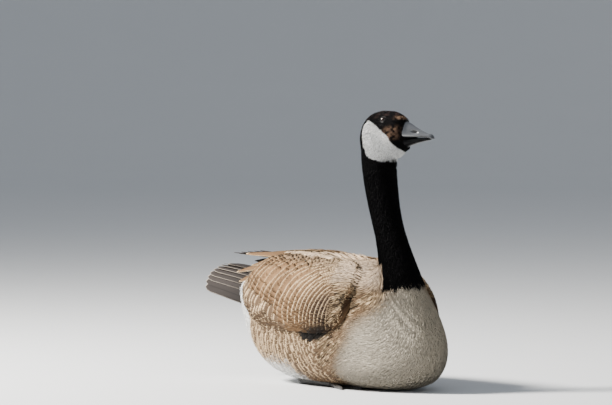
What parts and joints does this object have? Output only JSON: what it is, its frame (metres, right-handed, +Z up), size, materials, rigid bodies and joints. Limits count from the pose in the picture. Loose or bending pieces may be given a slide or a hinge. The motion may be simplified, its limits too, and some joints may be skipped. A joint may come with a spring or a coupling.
{
  "type": "canada goose",
  "caption": "Life-size model of a canada goose resting on its belly, feet tucked under, long neck upright, head turned to its left, wings folded, tail raised.",
  "frame": {"origin": "on the floor, in the middle of the flat of the belly that the goose rests on", "axes": "+Z up, +Y towards the tail and -Y towards the breast, +X towards the goose's left side"},
  "size_m": [0.2367, 0.632, 0.4663],
  "materials": {
    "body_plumage": "soft matt plumage, brown with pale feather edges",
    "neck_plumage": "short velvety black plumage",
    "head_plumage": "short black plumage with a white cheek patch",
    "bill_horn": "smooth black horn with a low sheen",
    "eye_surface": "wet gloss, dark brown",
    "wing_feathers": "matt brown feather vanes with pale edges",
    "tail_feathers": "dark grey-brown feather vanes",
    "leg_scales": "dark scaly skin with a dull sheen"
  },
  "bodies": {
    "root": {"torso": "body_plumage", "neck": "neck_plumage", "head": "head_plumage", "bill_upper": "bill_horn", "bill_lower": "bill_horn", "eye_left": "eye_surface", "eye_right": "eye_surface", "wing_left": "wing_feathers", "wing_right": "wing_feathers", "tail": "tail_feathers", "leg_left": "leg_scales", "leg_right": "leg_scales"}
  },
  "joints": []
}
